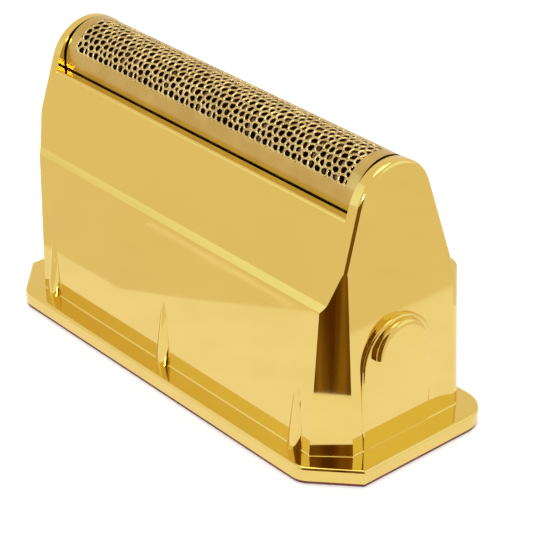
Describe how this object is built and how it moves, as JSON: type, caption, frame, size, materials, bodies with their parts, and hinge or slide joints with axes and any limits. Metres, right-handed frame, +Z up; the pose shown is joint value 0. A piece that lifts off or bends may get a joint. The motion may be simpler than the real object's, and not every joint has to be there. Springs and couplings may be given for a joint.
{
  "type": "foil shaver head",
  "caption": "Gold-plated single-foil shaver head: flanged shell with arched ends, perforated foil, sprung cassette and oscillating cutter block.",
  "frame": {"origin": "middle of the flange, on the underside of the base seal", "axes": "+X along the foil, +Y from the front to the back, +Z up through the foil"},
  "size_m": [0.058, 0.0232, 0.0331],
  "materials": {
    "plated_shell": "polished gold plate on moulded plastic",
    "foil": "gold-coated perforated steel foil",
    "foil_trim": "satin gold",
    "frame_plastic": "fine matte black",
    "dark_plastic": "matte black",
    "seal": "dark red-brown soft seal",
    "blade_steel": "ground steel",
    "spring_steel": "bright spring wire",
    "screw_steel": "zinc-plated",
    "bush_brass": "turned"
  },
  "bodies": {
    "housing": {"base_seal": "seal", "bridge_guide_front": "dark_plastic", "bridge_guide_rear": "dark_plastic", "foil_spring_left": "spring_steel", "foil_spring_right": "spring_steel", "frame_screw_1": "screw_steel", "frame_screw_2": "screw_steel", "frame_screw_3": "screw_steel", "frame_screw_4": "screw_steel", "guide_screw_1": "screw_steel", "guide_screw_2": "screw_steel", "guide_screw_3": "screw_steel", "guide_screw_4": "screw_steel", "head_housing": "plated_shell", "inner_frame": "dark_plastic"},
    "foil_cassette": {"foil": "foil", "foil_frame": "frame_plastic", "foil_end_left": "foil_trim", "foil_end_right": "foil_trim", "foil_clamp_front": "foil_trim", "foil_clamp_rear": "foil_trim", "foil_stake_front_1": "frame_plastic", "foil_stake_front_2": "frame_plastic", "foil_stake_front_3": "frame_plastic", "foil_stake_rear_1": "frame_plastic", "foil_stake_rear_2": "frame_plastic", "foil_stake_rear_3": "frame_plastic"},
    "bridge": {"drive_bridge": "dark_plastic", "drive_bush": "bush_brass", "cutter_spring_left": "spring_steel", "cutter_spring_right": "spring_steel"},
    "cutter": {"cutter_carrier": "dark_plastic", "blade_rod": "blade_steel", "cutter_blade_01": "blade_steel", "cutter_blade_02": "blade_steel", "cutter_blade_03": "blade_steel", "cutter_blade_04": "blade_steel", "cutter_blade_05": "blade_steel", "cutter_blade_06": "blade_steel", "cutter_blade_07": "blade_steel", "cutter_blade_08": "blade_steel", "cutter_blade_09": "blade_steel", "cutter_blade_10": "blade_steel", "cutter_blade_11": "blade_steel", "cutter_blade_12": "blade_steel", "cutter_blade_13": "blade_steel", "cutter_blade_14": "blade_steel", "cutter_blade_15": "blade_steel", "cutter_blade_16": "blade_steel", "cutter_blade_17": "blade_steel", "cutter_blade_18": "blade_steel", "cutter_blade_19": "blade_steel", "cutter_blade_20": "blade_steel", "cutter_blade_21": "blade_steel", "cutter_blade_22": "blade_steel"}
  },
  "joints": [
    {"name": "foil_float", "type": "slide", "parent": "housing", "child": "foil_cassette", "axis": [0, 0, 1], "range_m": [-0.0007, 0], "stiffness_N_per_m": 1500, "springref_m": 0.0004, "deforming": ["foil_spring_left", "foil_spring_right"]},
    {"name": "bridge_slide", "type": "slide", "parent": "housing", "child": "bridge", "axis": [1, 0, 0], "range_m": [-0.0012, 0.0012]},
    {"name": "cutter_float", "type": "slide", "parent": "bridge", "child": "cutter", "axis": [0, 0, 1], "range_m": [-0.0007, 0], "stiffness_N_per_m": 800, "springref_m": 0.0004, "deforming": ["cutter_spring_left", "cutter_spring_right"]}
  ],
  "couplings": [
    {"joint": "cutter_float", "follows": "foil_float", "ratio": 1}
  ]
}
